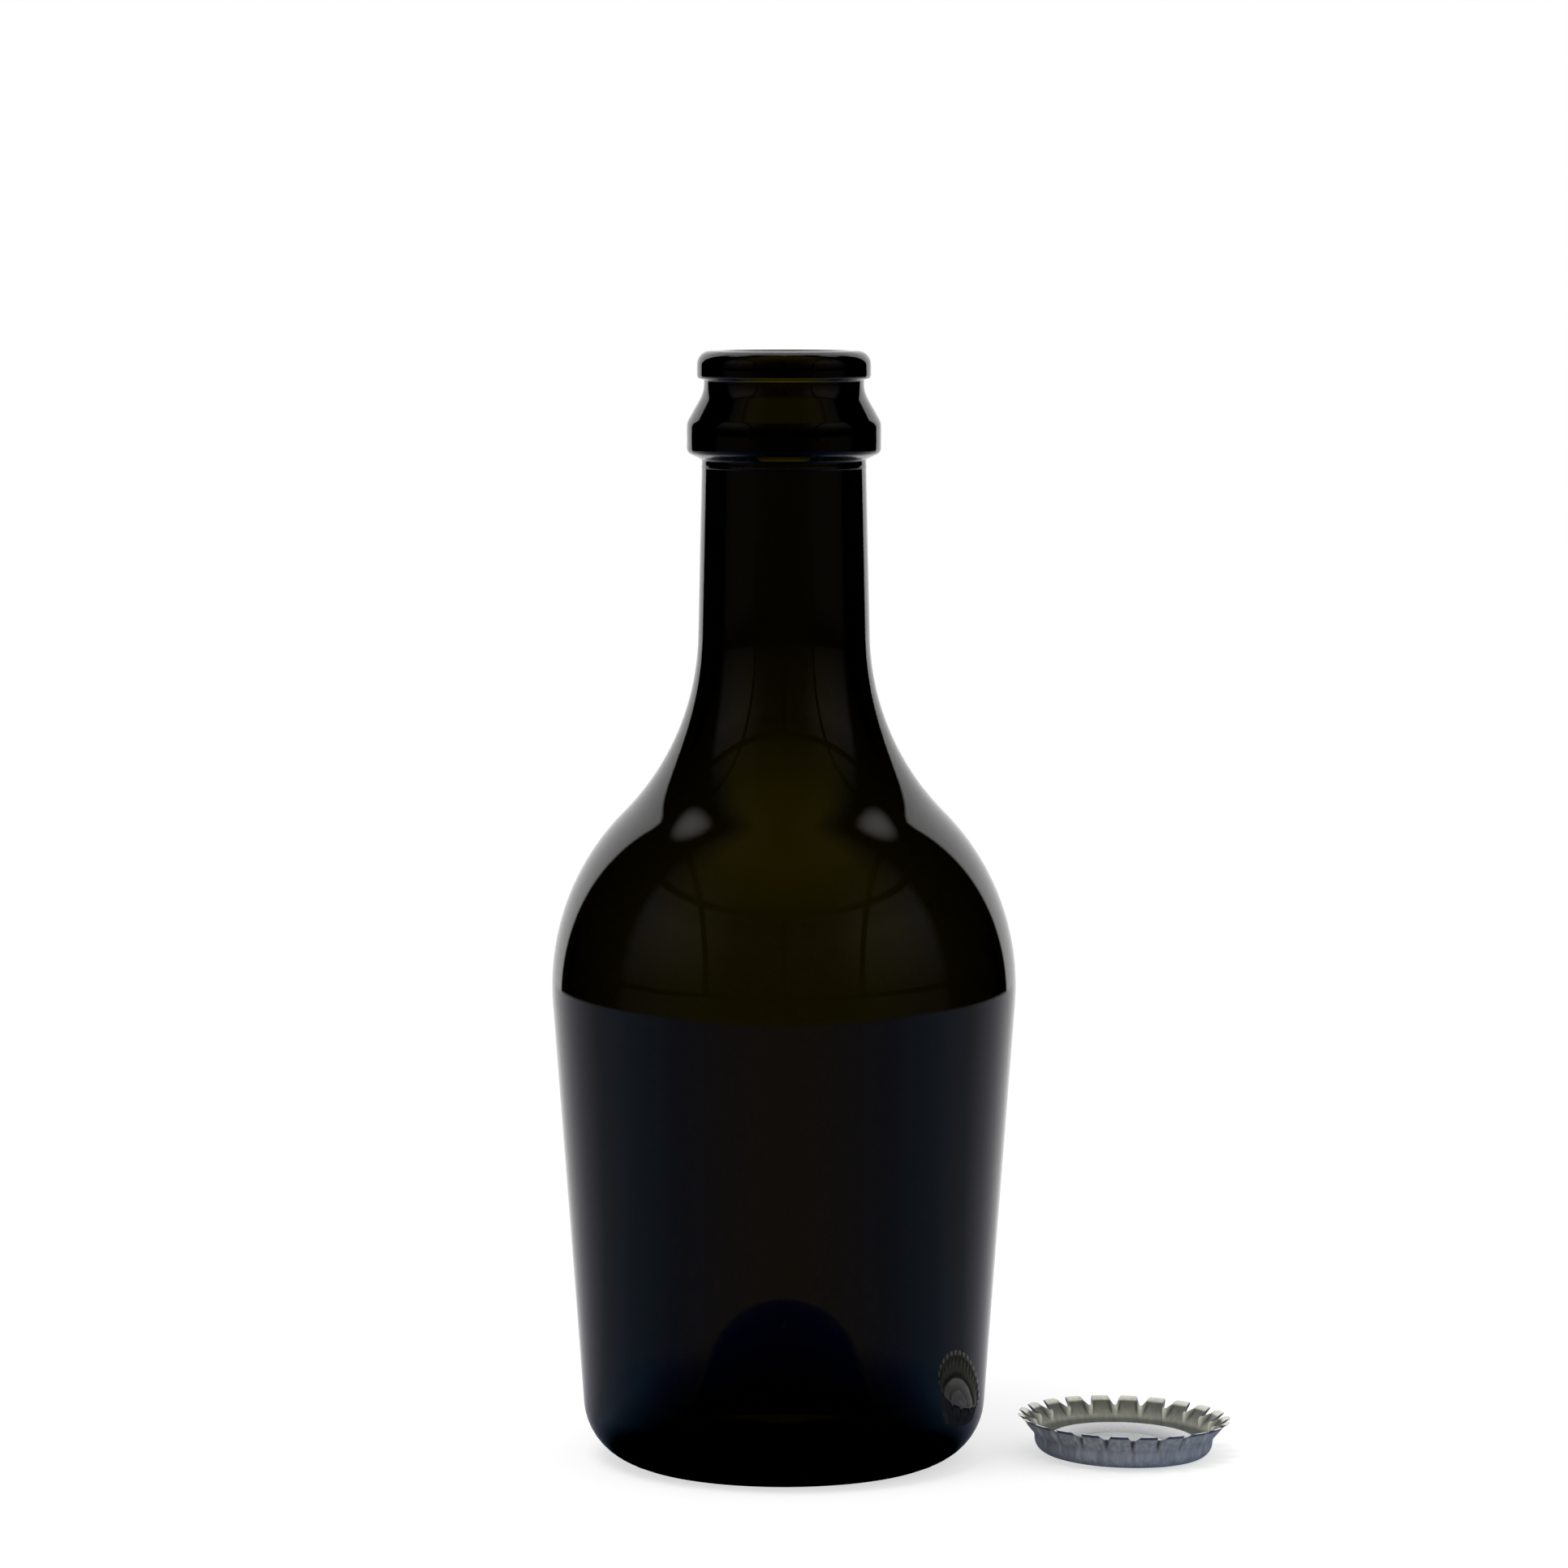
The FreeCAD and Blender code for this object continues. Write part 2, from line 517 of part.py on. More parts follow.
FLARE = "atan((Size.flare_radius - Size.cap_radius) / (Size.cap_height - Size.flare_start))"
FLUTE_TOP = "(Size.cap_height + 2)"
FLUTE_SINK = "tan(Size.flute_lean * 1 deg)"
FLUTE_SIDE = "tan(Size.flute_angle * 1 deg)"


def cup_outline(body, inset, over):
    """Outline of the cap's form, one inset inside its outer face and so far over the rim."""
    gap = number(inset)
    dome = number("Size.panel_dome")
    corner = number("Size.cap_corner")
    wall = number("Size.cap_radius")
    blend = number("Size.flare_blend") + gap
    flare = math.radians(number(FLARE))
    bend_y = "Size.flare_start + %s * tan(%s / 2)" % (inset, FLARE)
    end_x = "Size.flare_radius + %s * tan(%s) - %s / cos(%s)" % (over, FLARE, inset, FLARE)
    end_y = "Size.cap_height + %s" % over
    corner_y = dome - math.sqrt((dome - corner) ** 2 - (wall - corner) ** 2)
    corner_middle = FreeCAD.Vector(wall - corner, corner_y, 0)
    dome_middle = FreeCAD.Vector(0, dome, 0)
    meet = math.atan2(corner_y - dome, wall - corner)
    bend = FreeCAD.Vector(wall - gap, number(bend_y), 0)
    reach = blend * math.tan(flare / 2)
    blend_middle = FreeCAD.Vector(bend.x + blend, bend.y - reach, 0)
    flare_start = blend_middle + along(math.pi - flare) * blend
    top_y = number(end_y)

    outline = Outline(body, body.Name + "Outline")
    axis = outline.line((0, top_y), (0, gap))
    panel = outline.arc(dome_middle, dome - gap, -math.pi / 2, meet)
    edge = outline.arc(corner_middle, corner - gap, meet, 0)
    skirt = outline.line((bend.x, corner_y), (bend.x, blend_middle.y))
    turn = outline.arc(blend_middle, blend, math.pi - flare, math.pi)
    flared = outline.line(flare_start, (number(end_x), top_y))
    top = outline.line((number(end_x), top_y), (0, top_y))
    corner_point = outline.sketch.addGeometry(Part.Point(bend), True)
    outline.tie("PointOnObject", axis, 1, -2)
    outline.tie("PointOnObject", axis, 2, -2)
    outline.tie("Coincident", axis, 2, panel, 1)
    outline.place(panel, 3, "0", "Size.panel_dome")
    outline.size("Radius", panel, is_="Size.panel_dome - %s" % inset)
    outline.tie("Tangent", panel, 2, edge, 1)
    outline.size("Radius", edge, is_="Size.cap_corner - %s" % inset)
    outline.tie("Tangent", edge, 2, skirt, 1)
    outline.tie("Vertical", skirt)
    outline.tie("Tangent", skirt, 2, turn, 2)
    outline.size("Radius", turn, is_="Size.flare_blend + %s" % inset)
    outline.tie("Tangent", turn, 1, flared, 1)
    outline.tie("PointOnObject", corner_point, 1, skirt)
    outline.tie("PointOnObject", corner_point, 1, flared)
    outline.place(corner_point, 1, "Size.cap_radius - %s" % inset, bend_y)
    outline.place(flared, 2, end_x, end_y)
    outline.tie("Coincident", flared, 2, top, 1)
    outline.tie("Horizontal", top)
    outline.tie("Coincident", top, 2, axis, 1)
    outline.turn("PartDesign::Revolution", body.Name + "Form")


def flute(body, inset):
    """One flute: a channel along the skirt with a narrow flat bottom and sloping sides."""
    bottom = "Size.cap_radius - %s - (%s - Size.flute_start) * %s" % (inset, FLUTE_TOP, FLUTE_SINK)
    half = "(Size.flute_flat / 2 + %s * (1 / cos(Size.flute_angle * 1 deg) - %s))" % (inset, FLUTE_SIDE)
    mouth = "(Size.flare_radius + 4)"
    mouth_half = "(%s + (%s - (%s)) * %s)" % (half, mouth, bottom, FLUTE_SIDE)
    section = Outline(body, body.Name + "FluteSection", role="XY_Plane", offset=FLUTE_TOP)
    section.rounded([
        (bottom, half, None),
        (bottom, "-" + half, None),
        (mouth, "-" + mouth_half, None),
        (mouth, mouth_half, None),
    ])
    return section.cut_along(body.Name + "Flute", FLUTE_TOP + " - Size.flute_start + 1", x=FLUTE_SINK, z="-1")


outside = doc.addObject("PartDesign::Body", "Outside")
cup_outline(outside, "0", "0")
first_flute = flute(outside, "0")

# Over each flute the rim dips in a notch from land to land.
RIM_SINK = "(Size.cap_height - Size.flute_start) * %s" % FLUTE_SINK
NOTCH_HALF = "(Size.flute_flat / 2 + (Size.flare_radius - Size.cap_radius + %s) * %s)" % (RIM_SINK, FLUTE_SIDE)
NOTCH_FOOT = "Size.cap_height - Size.notch_depth"
notch = Outline(outside, "NotchSection", role="YZ_Plane", offset="Size.cap_radius - 2")
notch.rounded([
    ("-" + NOTCH_HALF, "Size.cap_height + 1", None),
    ("-" + NOTCH_HALF, "Size.cap_height", None),
    ("-Size.flute_flat / 2", NOTCH_FOOT, None),
    ("Size.flute_flat / 2", NOTCH_FOOT, None),
    (NOTCH_HALF, "Size.cap_height", None),
    (NOTCH_HALF, "Size.cap_height + 1", None),
])
first_notch = notch.cut_along("Notch", "8", x="1")
repeated(outside, "OutsideFlutes", [first_flute, first_notch], "Size.flute_count")

inside = doc.addObject("PartDesign::Body", "Inside")
cup_outline(inside, "Size.sheet", "1")
first_flute = flute(inside, "Size.sheet")
repeated(inside, "InsideFlutes", [first_flute], "Size.flute_count")

shell = doc.addObject("Part::Cut", "Shell")
shell.Base = outside
shell.Tool = inside
shell.Label = "crown_shell"

# --- Crown cap: the liner, which fills the bottom of the shell ---------------------

pour = doc.addObject("PartDesign::Body", "LinerPour")
filling = Outline(pour, "LinerOutline")
filling.rounded([
    ("0", "0", None),
    ("Size.cap_radius", "0", None),
    ("Size.cap_radius", "Size.liner_edge", None),
    ("Size.liner_ring_foot", "Size.liner_edge", "Size.liner_edge_round"),
    ("Size.liner_crest_radius", "Size.liner_crest", "Size.liner_crest_round"),
    ("Size.liner_trough_radius", "Size.liner_trough", "Size.liner_trough_round"),
    ("Size.liner_pad_foot", "Size.liner_trough", None),
    ("Size.liner_pad_radius", "Size.liner_pad", "Size.liner_pad_round"),
    ("0", "Size.liner_pad", None),
])
filling.turn("PartDesign::Revolution", "LinerForm")

liner = doc.addObject("Part::Common", "Liner")
liner.Base = pour
liner.Tool = inside
liner.Label = "crown_liner"

# --- The cap lies beside the bottle and leans a little on its domed panel ----------

lean = FreeCAD.Rotation(FreeCAD.Vector(0, 1, 0), number("Size.cap_lean"))
turned = FreeCAD.Rotation(FreeCAD.Vector(0, 0, 1), number("Size.cap_turn"))
pivot = FreeCAD.Vector(0, 0, number("Size.panel_dome"))
roll = "Size.panel_dome * sin(Size.cap_lean * 1 deg)"
resting = FreeCAD.Vector(number("Size.body_radius + Size.cap_clear + Size.flare_radius + " + roll), 0, 0)
for piece in (shell, liner):
    piece.Placement = FreeCAD.Placement(resting + pivot - lean.multVec(pivot), lean.multiply(turned))
doc.recompute()

# --- Checks and files --------------------------------------------------------------

PIECES = [bottle, shell, liner]
for item in doc.Objects:
    if "Invalid" in item.State or "Error" in item.State:
        raise ValueError("%s did not compute" % item.Name)
os.makedirs("parts", exist_ok=True)
for piece in PIECES:
    shape = piece.Shape
    if shape.isNull() or not shape.isValid() or len(shape.Solids) != 1:
        raise ValueError("%s is not one sound solid" % piece.Label)
    box = shape.optimalBoundingBox(True)
    print("%-12s %9.1f mm3  x %.2f..%.2f  y %.2f..%.2f  z %.2f..%.2f" % (
        piece.Label, shape.Volume, box.XMin, box.XMax, box.YMin, box.YMax, box.ZMin, box.ZMax))
    shape.exportStep("parts/%s.step" % piece.Label)
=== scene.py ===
# %% [markdown]
# # A crown-finish glass bottle and its cap
# The object is a small dark amber bottle, blown in an iron mould, and the crown cap
# that was prised off it, lying beside it with its skirt up. Three pieces are made:
# the glass, the pressed tinplate shell and the moulded liner inside the shell.
# Each is drawn as a maker would draw it, as half a section, and turned on its axis.

import math

import bpy
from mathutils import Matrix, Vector


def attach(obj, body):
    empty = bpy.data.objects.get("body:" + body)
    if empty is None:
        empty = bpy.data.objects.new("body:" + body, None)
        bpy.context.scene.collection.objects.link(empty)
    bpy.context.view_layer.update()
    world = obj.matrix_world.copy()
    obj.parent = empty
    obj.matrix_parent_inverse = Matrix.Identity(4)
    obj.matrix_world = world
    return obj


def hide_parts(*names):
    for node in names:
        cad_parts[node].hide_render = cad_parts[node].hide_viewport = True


MM = 0.001

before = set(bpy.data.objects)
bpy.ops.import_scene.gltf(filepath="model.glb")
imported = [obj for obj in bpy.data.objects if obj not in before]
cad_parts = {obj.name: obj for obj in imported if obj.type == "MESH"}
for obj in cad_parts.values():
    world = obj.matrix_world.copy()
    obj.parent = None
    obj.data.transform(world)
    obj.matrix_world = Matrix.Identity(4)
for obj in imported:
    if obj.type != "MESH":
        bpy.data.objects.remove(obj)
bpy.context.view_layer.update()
print("solids:", sorted(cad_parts))

# %% [markdown]
# ## Drawing a section
# A lathe needs half a section as a line of points. Here it is drawn as in a
# sketch: a straight run is an extruded point, and a rounding is the same point spun
# about the centre of its arc, so that every arc is a true one. The corners are
# written down with their roundings, and one helper works out where each arc starts.
# A bevel of the corners would be shorter, but its curve is only right at 90 degrees.


# %% Section helpers
def only(piece):
    """Makes one piece the only selected and the active one."""
    bpy.ops.object.select_all(action="DESELECT")
    piece.select_set(True)
    bpy.context.view_layer.objects.active = piece


def draw_section(name, corners, arc_run=1.5, arc_turn=9.0):
    """Draws corners (radius, height, rounding), in millimetres, as a line of points."""
    bpy.ops.object.select_all(action="DESELECT")
    bpy.ops.mesh.primitive_circle_add(vertices=3, radius=MM)
    section = bpy.context.object
    section.name = name
    section.data.name = name
    points = [Vector(corner[:2]) for corner in corners]
    bpy.ops.object.mode_set(mode="EDIT")
    bpy.ops.mesh.select_all(action="SELECT")
    bpy.ops.mesh.merge(type="CENTER")
    bpy.ops.transform.translate(value=(points[0].x * MM, 0, points[0].y * MM))
    here = points[0]
    for index in range(1, len(points)):
        corner = points[index]
        rounding = corners[index][2]
        run = (corner - here).normalized()
        reach = 0.0
        turn = 0.0
        if index < len(points) - 1 and rounding > 0:
            leave = (points[index + 1] - corner).normalized()
            turn = math.atan2(run.x * leave.y - run.y * leave.x, run.dot(leave))
            reach = rounding * math.tan(abs(turn) / 2)
        touch = corner - run * reach
        move = touch - here
        if move.length > 1e-4:
            bpy.ops.mesh.extrude_region_move(
                TRANSFORM_OT_translate={"value": (move.x * MM, 0, move.y * MM)}
            )
        here = touch
        if reach > 0:
            side = Vector((-run.y, run.x)) * math.copysign(1, turn)
            centre = touch + side * rounding
            steps = max(abs(turn) * rounding / arc_run, math.degrees(abs(turn)) / arc_turn)
            bpy.ops.mesh.spin(
                steps=max(2, math.ceil(steps)),
                angle=turn,
                center=(centre.x * MM, 0, centre.y * MM),
                axis=(0, 1, 0),
            )
            here = corner + leave * reach
    bpy.ops.object.mode_set(mode="OBJECT")
    print(name, "section points:", len(section.data.vertices))
    return section


def turn_on_axis(piece, steps):
    """Spins a section once round the Z axis and closes the seam and the poles."""
    only(piece)
    bpy.ops.object.mode_set(mode="EDIT")
    bpy.ops.mesh.select_all(action="SELECT")
    bpy.ops.mesh.spin(steps=steps, angle=2 * math.pi, center=(0, 0, 0), axis=(0, 0, 1))
    bpy.ops.mesh.select_all(action="SELECT")
    bpy.ops.mesh.remove_doubles(threshold=0.004 * MM)
    bpy.ops.mesh.normals_make_consistent(inside=False)
    bpy.ops.object.mode_set(mode="OBJECT")


def meeting(point, direction, other, other_direction):
    """Where two straight lines of a section meet."""
    gap = other - point
    cross = direction.x * other_direction.y - direction.y * other_direction.x
    share = (gap.x * other_direction.y - gap.y * other_direction.x) / cross
    return point + direction * share


def heading(degrees_from_up):
    """A direction in the section, turned from straight up towards the axis."""
    angle = math.radians(degrees_from_up)
    return Vector((-math.sin(angle), math.cos(angle)))


# %% [markdown]
# ## The bottle's S-curve
# From the wall to the neck the outside is two arcs that touch: the round shoulder and
# the hollow sweep. Both touch one slanting line where they meet, so the S is drawn
# with two corners, one on each side of it. The inside follows the same centre one
# wall's thickness further in, with a sweep of its own into the bore.

# %% Sizes of the vessel, in millimetres
BODY_RADIUS = 38.7
SHOULDER_HEIGHT = 79.6
SHOULDER_ARC = 41.0
SWEEP_ARC = 43.0
WALL_DRAFT = 4.24
BOTTLE_HEIGHT = 185.2
RING_INNER = 25.0
RING_OUTER = 26.0
HEEL_SLOPE = 18.0
HEEL_ARC = 10.6
NECK_RADIUS = 13.6
NECK_TAPER = 1.28
NECK_TOP = BOTTLE_HEIGHT - 18.0
MOULD_SEAM = NECK_TOP - 1.2
COLLAR_RADIUS = 16.1
COLLAR_FOOT = BOTTLE_HEIGHT - 16.8
COLLAR_TOP = BOTTLE_HEIGHT - 11.9
GROOVE_RADIUS = 13.25
GROOVE_FOOT = BOTTLE_HEIGHT - 6.8
LIP_RADIUS = 14.4
LIP_FOOT = BOTTLE_HEIGHT - 4.7
WALL = 3.1
MOUTH_RADIUS = 9.4
BORE_TAPER = 1.15
BORE_SWEEP = 47.0

shoulder_centre = Vector((BODY_RADIUS - SHOULDER_ARC, SHOULDER_HEIGHT))


def s_curve(shoulder, sweep, foot, lean):
    """The two corners of the S: where the wall and the neck meet the line between."""
    out = Vector((math.cos(math.radians(lean)), math.sin(math.radians(lean))))
    down = -heading(lean)
    start = foot + out * sweep
    across = start - shoulder_centre
    half = across.dot(down)
    reach = -half - math.sqrt(half**2 - across.length_squared + (shoulder + sweep) ** 2)
    sweep_centre = start + down * reach
    between = (sweep_centre - shoulder_centre).normalized()
    touch = shoulder_centre + between * shoulder
    slant = Vector((-between.y, between.x))
    draft = math.radians(WALL_DRAFT)
    wall_point = shoulder_centre + Vector((math.cos(draft), -math.sin(draft))) * shoulder
    low = meeting(wall_point, heading(-WALL_DRAFT), touch, slant)
    high = meeting(foot, down, touch, slant)
    return wall_point, low, high


neck_foot = Vector((NECK_RADIUS, NECK_TOP))
wall_point, outer_low, outer_high = s_curve(SHOULDER_ARC, SWEEP_ARC, neck_foot, NECK_TAPER)
mouth_foot = Vector((MOUTH_RADIUS, BOTTLE_HEIGHT))
_, inner_low, inner_high = s_curve(SHOULDER_ARC - WALL, BORE_SWEEP, mouth_foot, BORE_TAPER)
print("outer S:", outer_low, outer_high, "inner S:", inner_low, inner_high)

# %% [markdown]
# ## The glass
# One closed line goes up the hollow under the base, out over the ring it stands on,
# up the outside to the lip, and down the inside to the top of the punt. Turned once
# round, it is a single shell of glass with an inside and an outside, which refraction
# needs. The finish is the crown-cork kind: a lip over a groove, and a heavier ring
# below it. Under the ring a hair-thin ridge shows where the neck mould was parted.

# %% Draw the bottle's section
heel_corner = meeting(
    Vector((RING_OUTER, 0)), -heading(HEEL_SLOPE + 90), wall_point, heading(-WALL_DRAFT)
)
inner_wall = wall_point - Vector((math.cos(math.radians(WALL_DRAFT)), 0)) * WALL
FLOOR = 5.6
HOLLOW_FOOT = 2.6
inner_heel = meeting(Vector((0, FLOOR)), Vector((1, 0)), inner_wall, heading(-WALL_DRAFT))

PUNT_TOP = 26.5
PUNT_TIP = 13.0
PUNT_FLANK = 24.0
PUNT_GLASS = 4.2
punt_centre = Vector((0, PUNT_TOP - PUNT_TIP))
flank_out = Vector((math.cos(math.radians(PUNT_FLANK)), math.sin(math.radians(PUNT_FLANK))))
flank_down = Vector((flank_out.y, -flank_out.x))
punt_side = punt_centre + flank_out * PUNT_TIP
hollow_side = punt_centre + flank_out * (PUNT_TIP - PUNT_GLASS)
level = Vector((1, 0))
HOLLOW_TOP = PUNT_TOP - PUNT_GLASS

glass_section = [
    (0, HOLLOW_TOP, 0),
    (*meeting(Vector((0, HOLLOW_TOP)), level, hollow_side, flank_down), PUNT_TIP - PUNT_GLASS),
    (*meeting(Vector((0, HOLLOW_FOOT)), level, hollow_side, flank_down), 4.5),
    (RING_INNER, 0, 0.4),
    (RING_OUTER, 0, 0),
    (*(Vector((RING_OUTER, 0)) - heading(HEEL_SLOPE + 90) * 0.15), 0),
    (*heel_corner, HEEL_ARC),
    (*outer_low, SHOULDER_ARC),
    (*outer_high, SWEEP_ARC),
    (NECK_RADIUS + 0.03, MOULD_SEAM - 0.25, 0.2),
    (NECK_RADIUS + 0.14, MOULD_SEAM, 0.12),
    (NECK_RADIUS + 0.02, MOULD_SEAM + 0.25, 0.2),
    (NECK_RADIUS, NECK_TOP, 0.5),
    (COLLAR_RADIUS, COLLAR_FOOT, 1.1),
    (COLLAR_RADIUS, COLLAR_TOP, 2.4),
    (GROOVE_RADIUS, GROOVE_FOOT, 5.0),
    (GROOVE_RADIUS, LIP_FOOT, 0.48),
    (LIP_RADIUS, LIP_FOOT, 0.66),
    (LIP_RADIUS, BOTTLE_HEIGHT, 2.3),
    (*mouth_foot, 1.6),
    (*inner_high, BORE_SWEEP),
    (*inner_low, SHOULDER_ARC - WALL),
    (*inner_heel, 9.0),
    (*meeting(Vector((0, FLOOR)), level, punt_side, flank_down), 4.0),
    (*meeting(Vector((0, PUNT_TOP)), level, punt_side, flank_down), PUNT_TIP),
    (0, PUNT_TOP, 0),
]
bottle = draw_section("bottle_glass", glass_section)

# %% [markdown]
# ## The bars round the base
# Fifty-four short bars ring the base, moulded so that the hot glass touches the
# conveyor only here and there. The turned mesh has six steps to a bar. A vertex group
# says how far each point of a gap goes in, and a Displace modifier presses them all
# at once along their own normals. Cutting 54 gaps one by one would give the same form
# with a far heavier mesh.

# %% Turn the glass and press the bars
BARS = 54
STEPS_TO_A_BAR = 6
BAR_DEPTH = 0.42
BARS_REACH = 31
BARS_TOP = 4.5
turn_on_axis(bottle, BARS * STEPS_TO_A_BAR)


def cone_height(radius):
    return (radius - RING_OUTER) * math.tan(math.radians(HEEL_SLOPE))


gaps = bottle.vertex_groups.new(name="gaps")
for point in bottle.data.vertices:
    radius = math.hypot(point.co.x, point.co.y) / MM
    height = point.co.z / MM
    if not (RING_OUTER + 0.01 < radius < BARS_REACH and height < BARS_TOP):
        continue
    rise = height - cone_height(radius)
    if abs(rise) > BAR_DEPTH or rise < -0.02:
        continue
    step = round(math.atan2(point.co.y, point.co.x) / (2 * math.pi) * BARS * STEPS_TO_A_BAR)
    if step % STEPS_TO_A_BAR in (0, 1, STEPS_TO_A_BAR - 1):
        gaps.add([point.index], 1 - rise / BAR_DEPTH, "REPLACE")
press = bottle.modifiers.new("press", "DISPLACE")
press.vertex_group = "gaps"
press.direction = "NORMAL"
press.mid_level = 0
press.strength = -BAR_DEPTH * MM
only(bottle)
bpy.ops.object.modifier_apply(modifier="press")
bottle.vertex_groups.clear()
bpy.ops.object.shade_smooth_by_angle(angle=math.radians(32))
print("glass:", len(bottle.data.polygons), "faces, top", round(bottle.dimensions.z / MM, 2), "mm")

# %% [markdown]
# ## The crown cap's shell
# A crown is pressed from tinplate about a quarter of a millimetre thick: a faintly
# domed panel, a tight corner and a skirt that flares to the rim. The die that cuts it
# leaves 22 flutes in the skirt, and the rim dips over each one. The outside is turned
# as a smooth cup first. Then each point is moved in towards the axis as far as the die
# reaches at its place, with soft edges, as sheet metal bends, and the last of each land
# curls out. Solidify gives the sheet its thickness inwards, so the outside keeps its
# sizes. The panel's dome ends where the corner's rounding begins, because a section
# whose roundings overlap would fold back on itself.

# %% Draw the cup
SHEET = 0.28
CAP_RADIUS = 14.95
CAP_CORNER = 2.3
PANEL_DOME = 250.0
FLARE_START = 3.4
RIM_RADIUS = 17.45
RIM_HEIGHT = 6.45
FLUTES = 22
STEPS_TO_A_FLUTE = 22
dome_angle = math.asin((CAP_RADIUS - CAP_CORNER) / PANEL_DOME)
dome_corner = PANEL_DOME * math.tan(dome_angle / 2)

cup_section = [
    (0, 0, 0),
    (dome_corner, 0, PANEL_DOME),
    (CAP_RADIUS, (CAP_RADIUS - dome_corner) * math.tan(dome_angle), CAP_CORNER),
    (CAP_RADIUS, FLARE_START, 2.1),
    (RIM_RADIUS, RIM_HEIGHT, 0),
]
shell = draw_section("crown_shell_sheet", cup_section, arc_run=1.0)
only(shell)
bpy.ops.object.mode_set(mode="EDIT")
bpy.ops.mesh.select_mode(type="EDGE")
bpy.ops.mesh.select_all(action="DESELECT")
bpy.ops.object.mode_set(mode="OBJECT")
for edge in shell.data.edges:
    first, second = (shell.data.vertices[index].co for index in edge.vertices)
    edge.select = (first.z + second.z) / 2 > 2 * MM and (first - second).length > 0.5 * MM
bpy.ops.object.mode_set(mode="EDIT")
bpy.ops.mesh.subdivide(number_cuts=15)
bpy.ops.mesh.select_mode(type="VERT")
bpy.ops.object.mode_set(mode="OBJECT")
turn_on_axis(shell, FLUTES * STEPS_TO_A_FLUTE)

# %% Press the flutes and curl the rim
FLUTE_START = 3.05
FLUTE_FADE = 0.9
FLUTE_BEND = 0.33
FLUTE_SINK = 0.06
FLUTE_FLAT = 0.12
FLUTE_DRAFT = math.radians(2)
FLUTE_FLANK = math.radians(21)
NOTCH_START = 3.6
NOTCH_DEPTH = 1.3
NOTCH_HALF = 1.15
RIM_CURL = 0.38
CURL_RUN = 0.85


def share_of(value):
    """Held between none and all."""
    return min(1, max(0, value))


def soft_lower(first, second, bend):
    """The lower of two numbers, eased where they are close together."""
    near = max(0.0, bend - abs(first - second)) / bend
    return min(first, second) - near * near * bend / 4


def fluted(radius, height, sideways):
    """Where the die leaves a point of the skirt, by its distance from a flute's middle."""
    floor = CAP_RADIUS - max(0, height - FLARE_START) * math.tan(FLUTE_DRAFT) - FLUTE_SINK
    flank = floor + max(0, sideways - FLUTE_FLAT) / math.tan(FLUTE_FLANK)
    depth = radius - soft_lower(radius, flank, FLUTE_BEND * 2)
    curl = RIM_CURL * max(0, (height - RIM_HEIGHT + CURL_RUN) / CURL_RUN) ** 2
    notch = NOTCH_DEPTH * share_of(NOTCH_HALF - sideways)
    lift = share_of((height - NOTCH_START) / (RIM_HEIGHT - NOTCH_START))
    fade = share_of((height - FLUTE_START + FLUTE_FADE) / FLUTE_FADE)
    return radius - depth * fade + curl, height - notch * lift


for point in shell.data.vertices:
    height = point.co.z / MM
    if height < FLUTE_START - FLUTE_FADE:
        continue
    radius = math.hypot(point.co.x, point.co.y) / MM
    angle = math.atan2(point.co.y, point.co.x)
    turns = angle / (2 * math.pi) * FLUTES
    off = abs(turns - round(turns)) * 2 * math.pi / FLUTES
    radius, height = fluted(radius, height, radius * math.sin(off))
    point.co = Vector((math.cos(angle) * radius, math.sin(angle) * radius, height)) * MM

# %% [markdown]
# Solidify puts its second and third material on the inside and the cut rim only if the
# mesh already has three slots, so three empty ones are added first.

# %% Give the sheet its thickness
for _ in range(3):
    shell.data.materials.append(None)
only(shell)
thicken = shell.modifiers.new("sheet", "SOLIDIFY")
thicken.thickness = SHEET * MM
thicken.offset = -1
thicken.material_offset = 1
thicken.material_offset_rim = 2
bpy.ops.object.modifier_apply(modifier="sheet")
for point in shell.data.vertices:
    point.co.z = min(point.co.z, RIM_HEIGHT * MM)
soften = shell.modifiers.new("edges", "BEVEL")
soften.width = 0.05 * MM
soften.segments = 2
soften.limit_method = "ANGLE"
soften.angle_limit = math.radians(60)
bpy.ops.object.modifier_apply(modifier="edges")
bpy.ops.object.shade_smooth_by_angle(angle=math.radians(40))
print("shell:", len(shell.data.polygons), "faces")

# %% [markdown]
# ## The liner
# Inside the panel lies the liner: a compound that is dropped in soft and stamped by a
# punch, which leaves a raised sealing ring near the wall, a trough, and a slightly
# raised pad in the middle. It is turned as a solid whose underside lies on the
# panel's inner face.

# %% Turn the liner
PANEL_REACH = 12.6
RING_CREST = 11.9
PAD_RADIUS = 6.7
inside_dome = PANEL_DOME - SHEET
inner_wall_radius = CAP_RADIUS - SHEET
edge_height = PANEL_DOME - math.sqrt(inside_dome**2 - PANEL_REACH**2)
liner_section = [
    (0, SHEET, 0),
    (PANEL_REACH / 2, SHEET, inside_dome),
    (PANEL_REACH, edge_height, 0),
    (inner_wall_radius - 0.6, edge_height + 0.45, 0.6),
    (inner_wall_radius, 2.0, 0.25),
    (13.1, 2.0, 0.5),
    (RING_CREST, 3.2, 0.9),
    (8.9, 1.95, 1.5),
    (PAD_RADIUS + 0.3, 1.95, 0.2),
    (PAD_RADIUS, 2.3, 0.2),
    (3.2, 2.36, 0),
    (0, 2.36, 0),
]
liner = draw_section("crown_liner_compound", liner_section, arc_run=0.3)
turn_on_axis(liner, 256)
bpy.ops.object.shade_smooth_by_angle(angle=math.radians(50))

